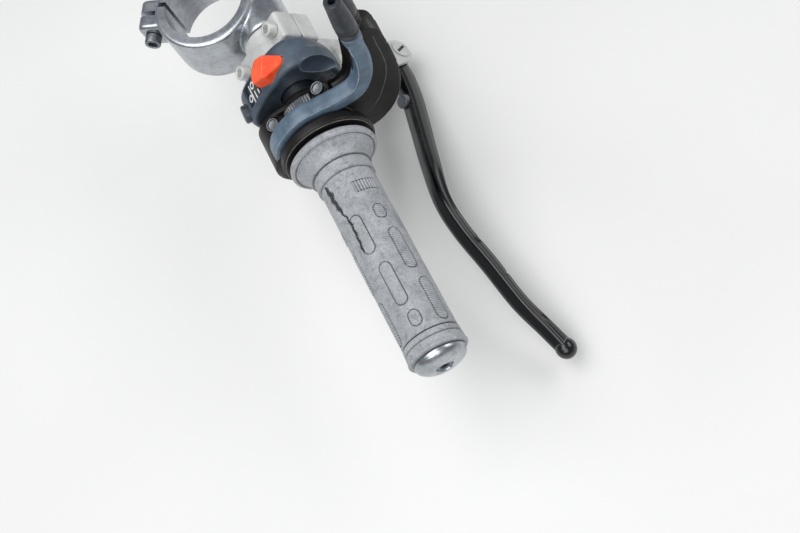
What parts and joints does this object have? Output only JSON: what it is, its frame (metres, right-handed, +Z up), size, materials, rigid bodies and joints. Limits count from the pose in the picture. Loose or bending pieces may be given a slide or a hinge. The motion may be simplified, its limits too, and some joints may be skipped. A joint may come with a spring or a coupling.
{
  "type": "motorcycle right handlebar control",
  "caption": "Clip-on half handlebar for a motorcycle, with twist grip, throttle housing and cable elbow, switch pod, brake master cylinder and sprung brake lever.",
  "frame": {"origin": "on the axis of the fork tube's bore in the clamp, level with the bar's axis", "axes": "+X outwards along the bar (the rider's right), +Y forwards, +Z up along the fork tube"},
  "size_m": [0.3111, 0.1432, 0.1852],
  "materials": {
    "polished_alloy": "polished cast alloy with fine wiping scratches",
    "cast_alloy": "satin cast alloy, warm grey",
    "bar_steel": "drawn steel tube",
    "zinc_screw": "bright zinc plate, slightly dulled",
    "black_plastic": "satin moulded black plastic",
    "grip_rubber": "weathered grey grip rubber",
    "boot_rubber": "matt black rubber",
    "lever_black": "gloss black coated alloy, bright at worn edges",
    "kill_red": "orange-red moulded plastic",
    "button_grey": "slate moulded plastic",
    "label_black": "black panel, blank"
  },
  "bodies": {
    "handlebar": {"fork_clamp": "polished_alloy", "fork_pinch_screw": "zinc_screw", "bar_tube": "bar_steel", "bar_end_cap": "polished_alloy", "bar_end_screw": "zinc_screw", "throttle_housing_lower": "black_plastic", "throttle_housing_upper": "black_plastic", "housing_screw_front": "zinc_screw", "housing_screw_rear": "zinc_screw", "housing_strip": "zinc_screw", "cable_elbow": "black_plastic", "elbow_boot": "boot_rubber", "horn_boot": "boot_rubber", "switch_pod_lower": "black_plastic", "switch_pod_upper": "black_plastic", "kill_switch": "kill_red", "starter_button": "button_grey", "switch_label": "label_black", "master_cylinder": "cast_alloy", "master_clamp_cap": "cast_alloy", "clamp_screw_upper": "zinc_screw", "clamp_screw_lower": "zinc_screw", "reservoir_port": "boot_rubber", "banjo_bolt": "zinc_screw", "cylinder_gaiter": "boot_rubber", "pivot_bolt": "zinc_screw", "pivot_nut": "zinc_screw"},
    "throttle": {"throttle_tube": "black_plastic", "grip": "grip_rubber"},
    "lever": {"brake_lever": "lever_black", "span_adjuster": "zinc_screw"},
    "piston": {"push_rod": "bar_steel"}
  },
  "joints": [
    {"name": "throttle_twist", "type": "hinge", "parent": "handlebar", "child": "throttle", "pos_m": [0.13, 0.024, 0], "axis": [1, 0, 0], "range_deg": [0, 70], "stiffness_Nm_per_rad": 0.25, "springref_deg": -20.05},
    {"name": "lever_pull", "type": "hinge", "parent": "handlebar", "child": "lever", "pos_m": [0.046, 0.08314, -0.07048], "axis": [0, -0.766, -0.6428], "range_deg": [0, 14], "stiffness_Nm_per_rad": 1.2, "springref_deg": -17.19},
    {"name": "piston_slide", "type": "slide", "parent": "handlebar", "child": "piston", "axis": [0, -0.6428, 0.766], "range_m": [0, 0.003]}
  ],
  "couplings": [
    {"joint": "piston_slide", "follows": "lever_pull", "m_per_rad": 0.012}
  ]
}
